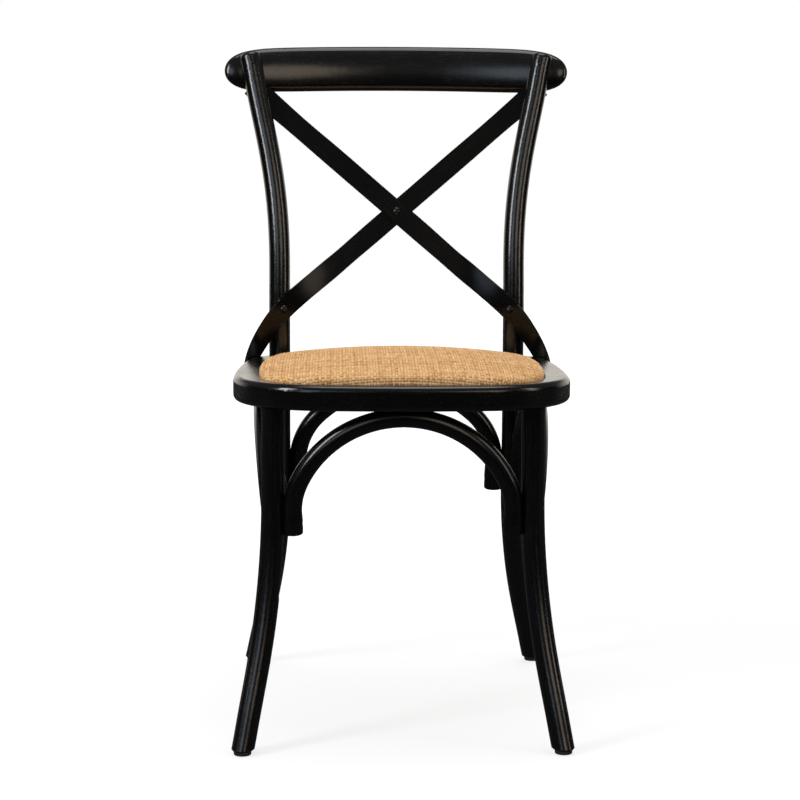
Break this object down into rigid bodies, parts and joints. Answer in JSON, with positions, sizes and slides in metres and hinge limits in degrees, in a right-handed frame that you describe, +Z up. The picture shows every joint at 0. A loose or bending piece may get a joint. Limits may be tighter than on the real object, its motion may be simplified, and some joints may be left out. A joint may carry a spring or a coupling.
{
  "type": "dining chair",
  "caption": "Black lacquered bentwood dining chair with a bowed crest rail, crossed back straps, arched braces under the seat and a crowned woven rattan seat pad.",
  "frame": {"origin": "on the floor under the middle of the chair", "axes": "+Z up, +X to the right seen from the front camera, the sitter faces -Y"},
  "size_m": [0.4804, 0.5065, 0.8875],
  "materials": {
    "black_lacquered_wood": "satin black lacquer over fine grain",
    "woven_rattan": "plain woven rattan",
    "plywood": "raw plywood",
    "seat_foam": "open foam",
    "blackened_steel": "blackened, satin",
    "zinc_steel": "zinc plated",
    "glide_plastic": "matte"
  },
  "bodies": {
    "root": {"seat_frame": "black_lacquered_wood", "seat_board": "plywood", "seat_foam": "seat_foam", "seat_cover": "woven_rattan", "cover_staples": "zinc_steel", "board_screws": "zinc_steel", "rear_post_right": "black_lacquered_wood", "rear_post_left": "black_lacquered_wood", "crest_rail": "black_lacquered_wood", "rail_pins": "blackened_steel", "cross_strap_right_foot": "black_lacquered_wood", "cross_strap_left_foot": "black_lacquered_wood", "cross_rivet": "blackened_steel", "cross_rivet_washer": "blackened_steel", "strap_bolts": "blackened_steel", "strap_cap_nuts": "blackened_steel", "strap_top_screws": "blackened_steel", "strap_foot_screws": "blackened_steel", "post_lag_screws": "zinc_steel", "post_plugs": "black_lacquered_wood", "leg_lock_screws": "zinc_steel", "front_hoop": "black_lacquered_wood", "rear_hoop": "black_lacquered_wood", "hoop_leg_screws": "blackened_steel", "hoop_crown_screws": "blackened_steel", "glide_nails": "zinc_steel", "front_leg_right": "black_lacquered_wood", "front_leg_left": "black_lacquered_wood", "side_hoop_right": "black_lacquered_wood", "side_hoop_left": "black_lacquered_wood", "front_glide_right": "glide_plastic", "front_glide_left": "glide_plastic", "rear_glide_right": "glide_plastic", "rear_glide_left": "glide_plastic"}
  },
  "joints": []
}
